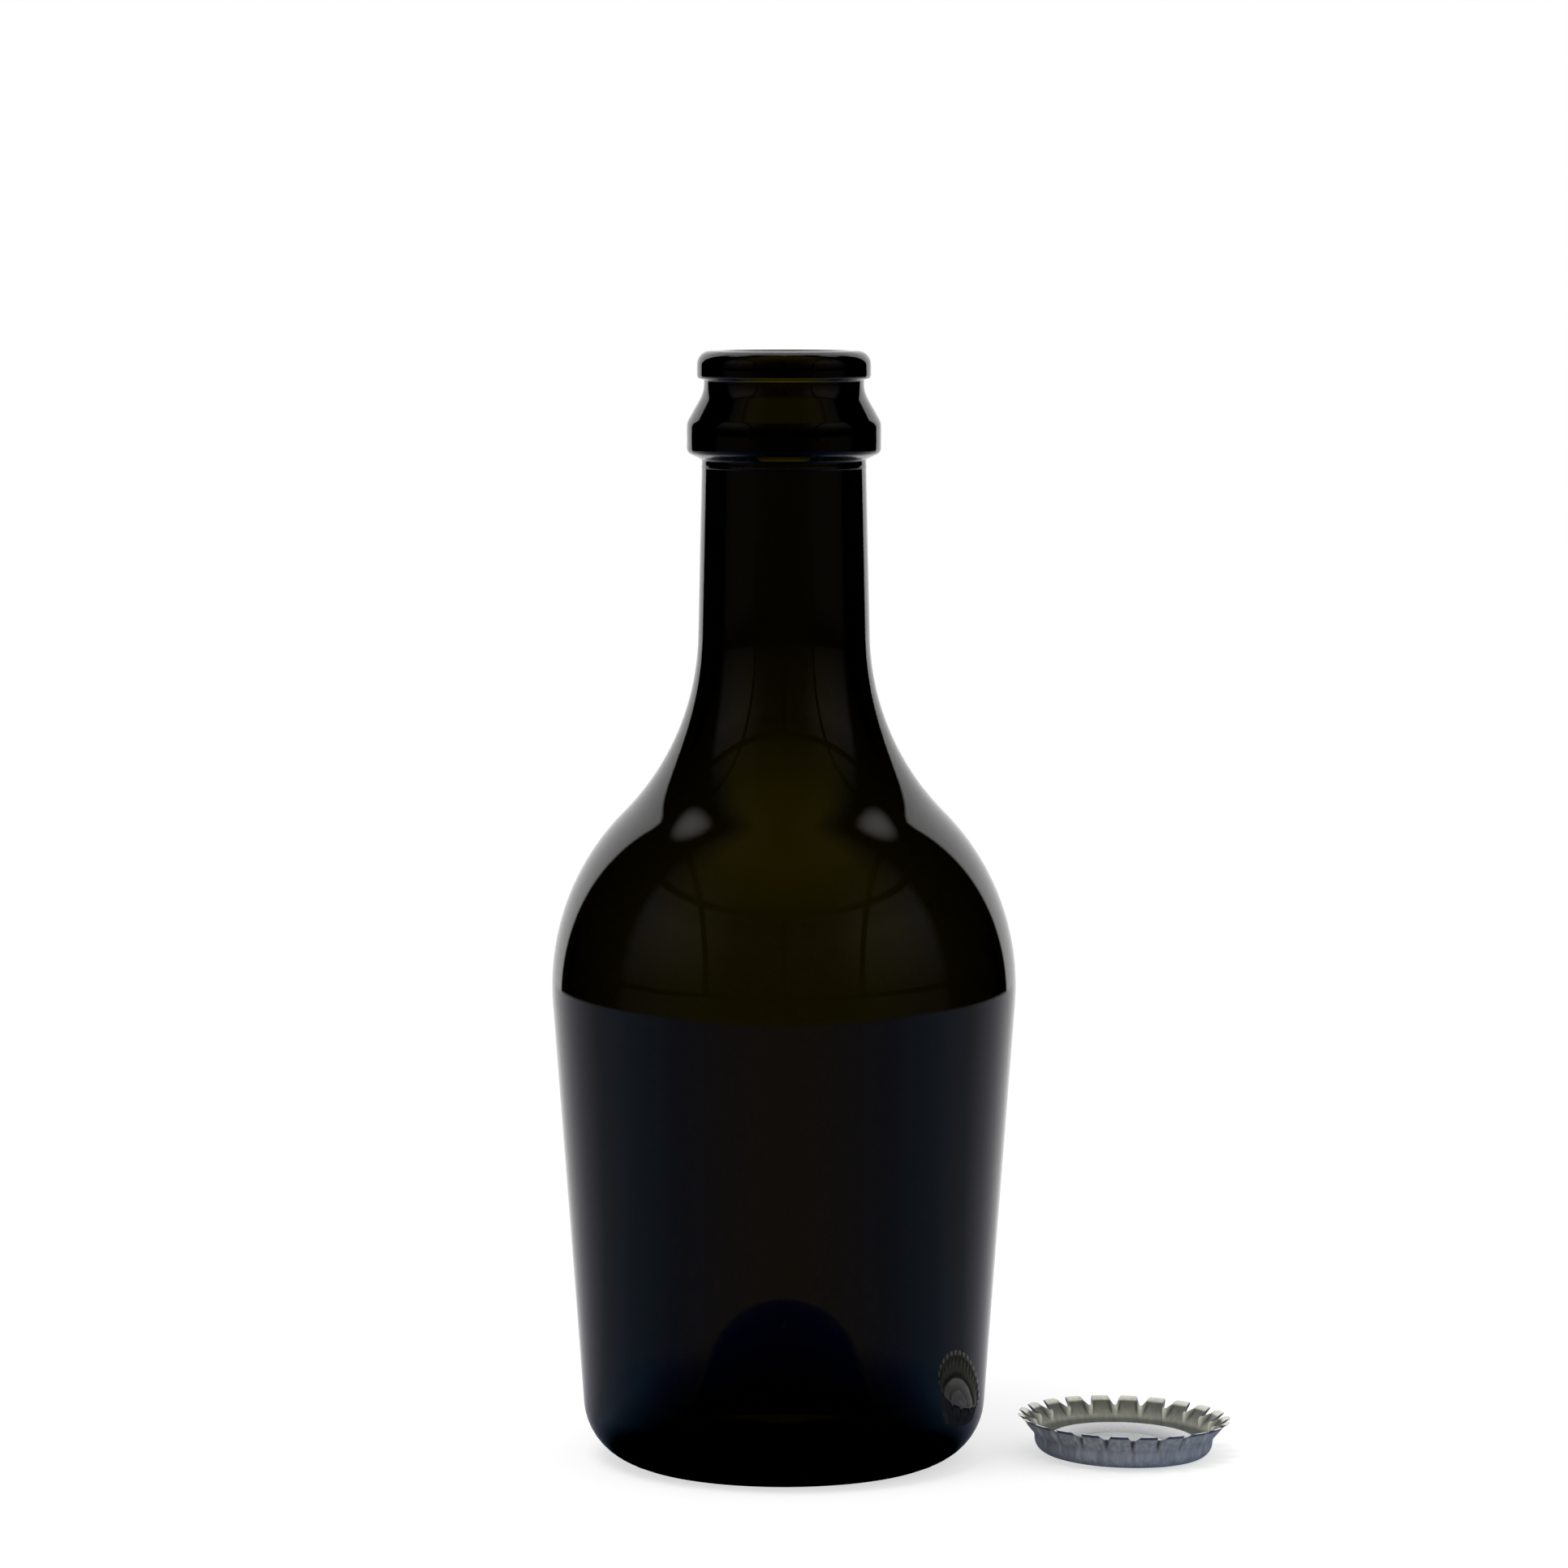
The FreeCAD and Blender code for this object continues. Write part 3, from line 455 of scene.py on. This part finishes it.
# %% [markdown]
# ## The cap at rest
# The cap was drawn on the bottle's axis. It lies on its domed panel, so it leans a
# little to one side, turned about the centre of the dome so that it still touches the
# table. Turn, lean and place are then put into the mesh.

# %% Lay the cap beside the bottle
CAP_TURN = math.radians(10.5)
CAP_LEAN = math.radians(1.4)
CAP_GAP = 0.85
CAP_PLACE = BODY_RADIUS + CAP_GAP + RIM_RADIUS
cap_spot = (CAP_PLACE * MM, 0, PANEL_DOME * (1 - math.cos(CAP_LEAN)) * MM)
for piece in (shell, liner):
    only(piece)
    piece.rotation_euler = (0, 0, CAP_TURN)
    bpy.ops.object.transform_apply(location=False, rotation=True, scale=False)
    piece.rotation_euler = (0, CAP_LEAN, 0)
    piece.location = cap_spot
    bpy.ops.object.transform_apply(location=True, rotation=True, scale=False)
    corners = [Vector(corner) / MM for corner in piece.bound_box]
    print(piece.name, [round(v, 2) for v in corners[0]], [round(v, 2) for v in corners[6]])

# %% [markdown]
# ## Materials
# Colours are written as sRGB hex, the way a paint shop names them, and turned to
# linear light by one function. Another adds a node, sets its sockets and links what
# feeds it, and the short ones after it do one sum, mix or map each. Each finish gets its
# pattern from Object coordinates, so that it stays on the piece wherever it is seen
# from.


# %% Colour and node helpers
def linear(code):
    """sRGB hex to linear RGBA."""
    parts = [int(code[i : i + 2], 16) / 255 for i in (1, 3, 5)]
    return [c / 12.92 if c <= 0.04045 else ((c + 0.055) / 1.055) ** 2.4 for c in parts] + [1]


def add(tree, kind, settings=None, **sockets):
    """Adds a node. A socket goes by its name, or by i and its number, and its value is
    a number, a colour or another node's output."""
    node = tree.nodes.new(kind)
    for key, value in (settings or {}).items():
        setattr(node, key, value)
    for name, value in sockets.items():
        numbered = name[0] == "i" and name[1:].isdigit()
        socket = node.inputs[int(name[1:]) if numbered else name.replace("_", " ")]
        if isinstance(value, bpy.types.NodeSocket):
            tree.links.new(value, socket)
        else:
            socket.default_value = value
    return node


def new_material(name):
    material = bpy.data.materials.new(name)
    material.use_nodes = True
    material.node_tree.nodes.clear()
    return material, material.node_tree


def sums(tree, operation, first, second, third=None):
    """One step of arithmetic on numbers."""
    extra = {} if third is None else {"i2": third}
    return add(tree, "ShaderNodeMath", {"operation": operation}, i0=first, i1=second, **extra).outputs[0]


def spread(tree, value, low, high, to_low=0.0, to_high=1.0):
    """Maps low..high to to_low..to_high, and holds it there."""
    return add(
        tree, "ShaderNodeMapRange", Value=value, i1=low, i2=high, i3=to_low, i4=to_high
    ).outputs[0]


def scaled(tree, colour, share):
    return add(tree, "ShaderNodeVectorMath", {"operation": "SCALE"}, i0=colour, Scale=share).outputs[0]


def length(tree, vector):
    return add(tree, "ShaderNodeVectorMath", {"operation": "LENGTH"}, i0=vector).outputs["Value"]


def mixed(tree, share, first, second, blend="MIX"):
    """Two colours mixed by a share, or multiplied."""
    settings = {"data_type": "RGBA", "blend_type": blend}
    return add(tree, "ShaderNodeMix", settings, i0=share, i6=first, i7=second).outputs[2]


def spots(tree, where, size, detail=2.0, stretch=(1, 1, 1)):
    """Noise with blotches about size across, in the units of where, as a 0 to 1 output."""
    placed = add(tree, "ShaderNodeMapping", Vector=where, Scale=[part / size for part in stretch])
    return add(tree, "ShaderNodeTexNoise", Vector=placed.outputs[0], Scale=1.0, Detail=detail).outputs["Fac"]


def ramp(tree, value, stops):
    """A colour ramp over -1 to 1, from (place, grey or colour) pairs."""
    node = add(tree, "ShaderNodeValToRGB", Fac=spread(tree, value, -1.0, 1.0))
    elements = node.color_ramp.elements
    for index, (place, tone) in enumerate(stops):
        if index >= len(elements):
            elements.new((place + 1) / 2)
        elements[index].position = (place + 1) / 2
        elements[index].color = (*tone, 1) if isinstance(tone, tuple) else (tone, tone, tone, 1)
    return node.outputs["Color"]


# %% [markdown]
# ### Amber glass
# Beer glass is soda-lime glass coloured through and through with iron, sulphur and
# carbon. The colour is in the volume, so thin places glow amber and the two walls
# together look black: the surface is colourless and an absorbing volume does the rest.
# Blue light dies within a millimetre, green a little before red. A blown surface is
# fire-polished, so it is mirror smooth, but it keeps long shallow waves.

# %% Amber glass
glass, tree = new_material("amber_soda_lime_glass")
where = add(tree, "ShaderNodeTexCoord").outputs["Object"]
waves = spots(tree, where, 16 * MM, detail=1.0, stretch=(1, 1, 0.4))
surface = add(tree, "ShaderNodeBump", Strength=0.35, Distance=0.05 * MM, Height=waves)
haze = spots(tree, where, 7 * MM, detail=4.0)
body = add(
    tree,
    "ShaderNodeBsdfPrincipled",
    Base_Color=linear("#FFFFFF"),
    Transmission_Weight=1.0,
    Roughness=spread(tree, haze, 0.0, 1.0, 0.0, 0.035),
    IOR=1.52,
    Normal=surface.outputs[0],
)
volume = add(tree, "ShaderNodeVolumeAbsorption", Color=(0.744, 0.73, 0.0, 1), Density=3200.0)
add(tree, "ShaderNodeOutputMaterial", Surface=body.outputs[0], Volume=volume.outputs[0])
bottle.data.materials.append(glass)

# %% [markdown]
# ### Tinplate
# The crown is cut from cold-rolled steel with a bright coat of tin. Rolling leaves a
# grain of fine parallel lines, and drawing the skirt leaves streaks that run down it.
# The real grain is 0.05 mm wide; it is drawn at 0.2 mm so that it shows. Outside it is
# a cool blue grey, with painted shade in the flutes, along the rim and, less, on the
# lower skirt. Inside, the lacquer that keeps the drink off the metal is a pale yellow
# grey, left light on the flutes and at the rim, with painted shade on the lands between
# them and on the lower skirt. The cut edge is a plain grey. These painted tones follow
# the cap's own axes: how far a point lies from its axis, against the land at the same
# height, says whether it is on a flute or on a land.


# %% The cap's own axes
def cap_axes(tree):
    """Place in the cap's own axes, distance from its axis and height, all in mm."""
    placed = add(
        tree,
        "ShaderNodeMapping",
        {"vector_type": "TEXTURE"},
        Vector=add(tree, "ShaderNodeTexCoord").outputs["Object"],
        Location=cap_spot,
        Rotation=(0, CAP_LEAN, 0),
        Scale=(MM, MM, MM),
    ).outputs[0]
    flat = add(tree, "ShaderNodeVectorMath", {"operation": "MULTIPLY"}, i0=placed, i1=(1, 1, 0))
    height = add(tree, "ShaderNodeSeparateXYZ", Vector=placed).outputs["Z"]
    return placed, length(tree, flat.outputs[0]), height


# %% Tinplate finishes
# Tones multiply the base colour to paint shade; UNSHADED leaves it as it is.
UNSHADED = (1.0, 1.0, 1.0)
FLUTE_FLOOR = 14.75
LEAST_LAND = 15.4
TONES_FROM = 3.0
TONES_TO = 4.2
RIM_FROM = 5.75
RIM_TO = 6.05
flare_slope = (RIM_RADIUS - CAP_RADIUS) / (RIM_HEIGHT - FLARE_START)


def tinplate(name, dark, light, roughness, metallic, flute=UNSHADED, land=UNSHADED, skirt=UNSHADED, rim=UNSHADED):
    """Base colours, then the painted shade on flutes, lands, lower skirt and rim."""
    material, tree = new_material(name)
    where = add(tree, "ShaderNodeTexCoord").outputs["Object"]
    grain = spots(tree, where, 0.2 * MM, detail=3.0, stretch=(0.04, 1, 1))
    placed, radius, height = cap_axes(tree)
    streaks = spots(tree, placed, 0.7, detail=3.0, stretch=(1, 1, 0.12))
    share = spread(tree, sums(tree, "MULTIPLY_ADD", grain, 0.25, streaks), 0.35, 0.9)
    sheet = mixed(tree, share, linear(dark), linear(light))

    land_radius = sums(tree, "MULTIPLY_ADD", height, flare_slope, CAP_RADIUS - FLARE_START * flare_slope)
    widest = sums(tree, "MAXIMUM", land_radius, LEAST_LAND)
    half_way = tuple((first + second) / 2 for first, second in zip(flute, land))
    outwards = spread(tree, radius, FLUTE_FLOOR, widest)
    # Painted shade by flute: from a flute's floor out to the land, the tone runs from the flute's to the
    # land's.
    painted_shade_by_flute = ramp(tree, outwards, [(0.0, flute), (0.3, half_way), (0.85, land)])
    # Painted shade on the lower skirt, then on the rim.
    painted_skirt_shade = mixed(tree, spread(tree, height, TONES_FROM, TONES_TO), (*skirt, 1), painted_shade_by_flute)
    painted_shading = mixed(tree, spread(tree, height, RIM_FROM, RIM_TO), painted_skirt_shade, (*rim, 1))

    relief = add(tree, "ShaderNodeBump", Strength=0.25, Distance=0.01 * MM, Height=grain)
    metal = add(
        tree,
        "ShaderNodeBsdfPrincipled",
        Base_Color=mixed(tree, 1.0, sheet, painted_shading, "MULTIPLY"),
        Metallic=metallic,
        Roughness=spread(tree, streaks, 0.3, 0.7, roughness - 0.05, roughness + 0.07),
        Normal=relief.outputs[0],
        Coat_Weight=0.3,
        Coat_Roughness=0.12,
    )
    add(tree, "ShaderNodeOutputMaterial", Surface=metal.outputs[0])
    return material


# Painted shade outside: dark in the flutes and along the rim, a little darker on the lower skirt.
outside = tinplate(
    "tinplate_outside",
    "#8D9098",
    "#CED1D6",
    0.36,
    0.3,
    flute=(0.15, 0.16, 0.2),
    land=(0.95, 0.96, 0.95),
    skirt=(0.8, 0.82, 0.88),
    rim=(0.14, 0.16, 0.3),
)
# Painted shade inside: dark on the lands and on the lower skirt.
inside = tinplate(
    "lacquered_tinplate_inside",
    "#CFD0C6",
    "#F2F2E9",
    0.32,
    0.1,
    flute=(1.0, 1.0, 0.93),
    land=(0.17, 0.175, 0.168),
    skirt=(0.28, 0.29, 0.275),
    rim=(1.0, 1.0, 0.96),
)
cut_edge = tinplate("cut_tinplate_edge", "#70768A", "#9499A8", 0.4, 0.8)
for index, finish in enumerate((outside, inside, cut_edge)):
    shell.data.materials[index] = finish

# %% [markdown]
# ### Liner compound
# The liner is a soft, cork-free plastic compound with a satin skin, a pale grey.
# Painted light and shade by radius make it lightest on the sealing ring and at the pad's
# edge, and dark in the trough between them and towards the wall. The punch leaves rings
# too fine to measure, drawn here as a wave 0.45 mm apart, round the cap's own axis,
# with a few cloudy spots.

# %% Liner compound
RING_GAP = 0.45
WAVES_TO_A_UNIT = 3.18
LINER_REACH = 13.0
compound, tree = new_material("moulded_liner_compound")
placed, radius, _ = cap_axes(tree)
rings = add(
    tree,
    "ShaderNodeTexWave",
    {"wave_type": "RINGS", "rings_direction": "Z"},
    Vector=placed,
    Scale=1 / RING_GAP / WAVES_TO_A_UNIT,
    Distortion=0.4,
    Detail=1.0,
)
# Painted light and shade by radius: light on the ring and the pad's edge, dark in the trough and at the
# wall.
painted_shading = ramp(
    tree,
    spread(tree, radius, 0.0, LINER_REACH),
    [
        (0.0, 0.76),
        (0.48, 0.78),
        (0.515, 0.95),
        (0.545, 0.42),
        (0.66, 0.5),
        (0.8, 0.8),
        (0.9, 1.0),
        (1.0, 0.45),
    ],
)
cloud = spots(tree, add(tree, "ShaderNodeTexCoord").outputs["Object"], 3.0 * MM, detail=4.0)
base = mixed(tree, cloud, linear("#D6D6DA"), linear("#ECECEE"))
relief = add(tree, "ShaderNodeBump", Strength=0.3, Distance=0.02 * MM, Height=rings.outputs["Fac"])
skin = add(
    tree,
    "ShaderNodeBsdfPrincipled",
    Base_Color=mixed(tree, 1.0, base, painted_shading, "MULTIPLY"),
    Roughness=spread(tree, cloud, 0.3, 0.7, 0.2, 0.3),
    Normal=relief.outputs[0],
)
add(tree, "ShaderNodeOutputMaterial", Surface=skin.outputs[0])
liner.data.materials.append(compound)

# %% [markdown]
# ## Table, studio and camera
# The table and the backdrop are white. A light-tent stands behind the object, black
# cards stand to its left and right, and the room in front is dim: dark glass shows
# nothing but what is around it, so these cards are what draws its edges. They are
# written into the world and the table for reflected and refracted rays only. Every
# other ray meets a plain, even white light.
#
# Both are drawn by bearing, from straight behind the object to straight in front. The
# table is painted lit near the tent, dim in front, and carries a painted shadow close to
# the base in front. Past its edge, some 0.4 m away in front and 0.7 m behind, the room
# goes on. Two small lamps stand high at the sides, and a faint warm one hangs overhead,
# in front.

# %% The room and its bearings
ROOM = [
    (-1.0, (0.03, 0.022, 0.012)),
    (-0.9, (0.05, 0.04, 0.025)),
    (-0.72, (0.15, 0.125, 0.09)),
    (-0.45, (0.17, 0.15, 0.12)),
    (-0.12, (0.12, 0.12, 0.13)),
    (0.0, (0.0, 0.0, 0.0)),
]
ROOM_AT_HORIZON = 0.25
TENT_EDGE = 0.775
TENT_FULL = 0.8
SPOT_RIM = 0.977
SPOT_LEVEL = 0.85
WARM_LAMP = (0.13, 0.1, 0.0)


def bearing(tree, vector):
    """Cosine of the bearing from straight behind the object: 1 behind, -1 in front."""
    flat = add(tree, "ShaderNodeVectorMath", {"operation": "MULTIPLY"}, i0=vector, i1=(1, 1, 0))
    unit = add(tree, "ShaderNodeVectorMath", {"operation": "NORMALIZE"}, i0=flat.outputs[0])
    return add(tree, "ShaderNodeSeparateXYZ", Vector=unit.outputs[0]).outputs["Y"]


def by_ray(tree, even, seen, mirrored):
    """One shader for even light, one for the camera, one for what gloss and glass show."""
    path = add(tree, "ShaderNodeLightPath").outputs
    plain = add(tree, "ShaderNodeMixShader", i0=path["Is Camera Ray"], i1=even, i2=seen).outputs[0]
    sharp = sums(tree, "MAXIMUM", path["Is Glossy Ray"], path["Is Transmission Ray"])
    return add(tree, "ShaderNodeMixShader", i0=sharp, i1=plain, i2=mirrored).outputs[0]


# %% Table
bpy.ops.mesh.primitive_plane_add(size=6)
table = bpy.context.object
table.name = "table"
white_table, tree = new_material("white_table")
where = add(tree, "ShaderNodeTexCoord").outputs["Object"]
turned = bearing(tree, where)
away = length(tree, where)
lit_table = ramp(
    tree,
    turned,
    [
        (-1.0, (0.006, 0.01, 0.072)),
        (-0.6, (0.014, 0.04, 0.15)),
        (-0.33, (0.045, 0.105, 0.2)),
        (0.0, (0.115, 0.15, 0.23)),
        (0.21, (0.15, 0.165, 0.2)),
        (0.515, (0.33, 0.32, 0.37)),
        (0.68, (0.5, 0.49, 0.53)),
        (0.857, 0.8),
        (0.93, 1.0),
    ],
)
# Painted shadow: what gloss and glass see of the table goes dark close to the base in front.
clear_of_base = spread(tree, sums(tree, "MULTIPLY_ADD", turned, 0.06, away), 0.02, 0.056)
low_room = [(place, tuple(ROOM_AT_HORIZON * part for part in tone)) for place, tone in ROOM]
beyond = ramp(tree, turned, low_room + [(TENT_EDGE, 0.0), (TENT_FULL, 1.0)])
past_edge = spread(tree, sums(tree, "MULTIPLY_ADD", turned, -0.15, away), 0.52, 0.58)
mirrored = mixed(tree, past_edge, scaled(tree, lit_table, clear_of_base), beyond)
paper = add(tree, "ShaderNodeBsdfDiffuse", Color=linear("#B8B8B8")).outputs[0]
glow = add(tree, "ShaderNodeEmission", Color=linear("#FFFFFF"), Strength=0.62).outputs[0]
white_paper = add(tree, "ShaderNodeAddShader", i0=paper, i1=glow).outputs[0]
surface = by_ray(tree, paper, white_paper, add(tree, "ShaderNodeEmission", Color=mirrored).outputs[0])
add(tree, "ShaderNodeOutputMaterial", Surface=surface)
table.data.materials.append(white_table)

# %% World
world = bpy.data.worlds.new("studio")
bpy.context.scene.world = world
world.use_nodes = True
tree = world.node_tree
tree.nodes.clear()
direction = add(tree, "ShaderNodeTexCoord").outputs["Generated"]
height = add(tree, "ShaderNodeSeparateXYZ", Vector=direction).outputs["Z"]
behind = bearing(tree, direction)

upright = add(tree, "ShaderNodeMapping", Vector=direction, Rotation=(math.radians(90), 0, 0))
panels = add(
    tree,
    "ShaderNodeTexBrick",
    {"offset": 0.0},
    Vector=upright.outputs[0],
    Color1=linear("#FFFFFF"),
    Color2=linear("#D0D0D0"),
    Mortar=linear("#606060"),
    Scale=0.8,
    Row_Height=0.5,
    Mortar_Size=0.02,
    Mortar_Smooth=0.5,
)
framed = mixed(tree, 1.0, ramp(tree, behind, ROOM), panels.outputs["Color"], "MULTIPLY")
lower = spread(tree, height, 0.0, 0.45, ROOM_AT_HORIZON, 1.05)
upper = spread(tree, height, 0.45, 0.8, 1.0, 0.25)
room = scaled(tree, framed, sums(tree, "MULTIPLY", lower, upper))

overhead = sums(tree, "MULTIPLY", spread(tree, height, 0.55, 0.9), spread(tree, behind, -0.1, -0.5))
lamplight = scaled(tree, WARM_LAMP, overhead)
glow = spread(tree, sums(tree, "MULTIPLY_ADD", height, 0.23, behind), TENT_EDGE, TENT_FULL)
for side in (-1, 1):
    toward = add(
        tree,
        "ShaderNodeVectorMath",
        {"operation": "DOT_PRODUCT"},
        i0=direction,
        i1=(0.475 * side, 0.26, 0.84),
    )
    spot = add(
        tree,
        "ShaderNodeMapRange",
        {"interpolation_type": "SMOOTHSTEP"},
        Value=toward.outputs["Value"],
        i1=SPOT_RIM,
        i2=1.0,
        i4=SPOT_LEVEL,
    )
    glow = sums(tree, "ADD", glow, spot.outputs[0])
for light in (glow, lamplight):
    room = add(tree, "ShaderNodeVectorMath", {"operation": "ADD"}, i0=room, i1=light).outputs[0]

even = add(tree, "ShaderNodeBackground", Color=linear("#FFFFFF"), Strength=0.8).outputs[0]
white = add(tree, "ShaderNodeBackground", Color=linear("#FFFFFF"), Strength=1.0).outputs[0]
cards = add(tree, "ShaderNodeBackground", Color=room).outputs[0]
add(tree, "ShaderNodeOutputWorld", Surface=by_ray(tree, even, white, cards))

# %% Lamp
bpy.ops.object.light_add(type="AREA", radius=0.6, location=(-0.35, -0.5, 1.3))
lamp = bpy.context.object
lamp.name = "softbox"
lamp.data.energy = 6
lamp.rotation_euler = (lamp.location - Vector((0, 0, 0.05))).to_track_quat("Z", "Y").to_euler()
lamp.visible_glossy = False
lamp.visible_transmission = False

# %% Camera
bpy.ops.object.camera_add(location=(0, -0.957, 0.201), rotation=(math.radians(90 - 5.24), 0, 0))
camera = bpy.context.object
camera.data.lens = 132.58
camera.data.sensor_width = 36
bpy.context.scene.camera = camera

# %% [markdown]
# ## Finish
# The three pieces stand for the three solids, which are hidden, and they ride on the one body.

# %% Hand the pieces over
for piece, node, slot in (
    (bottle, "bottle", "bottle_glass"),
    (shell, "crown_shell", "tinplate"),
    (liner, "crown_liner", "liner"),
):
    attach(piece, "root")
    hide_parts(node)

bpy.context.scene.view_settings.view_transform = "Standard"
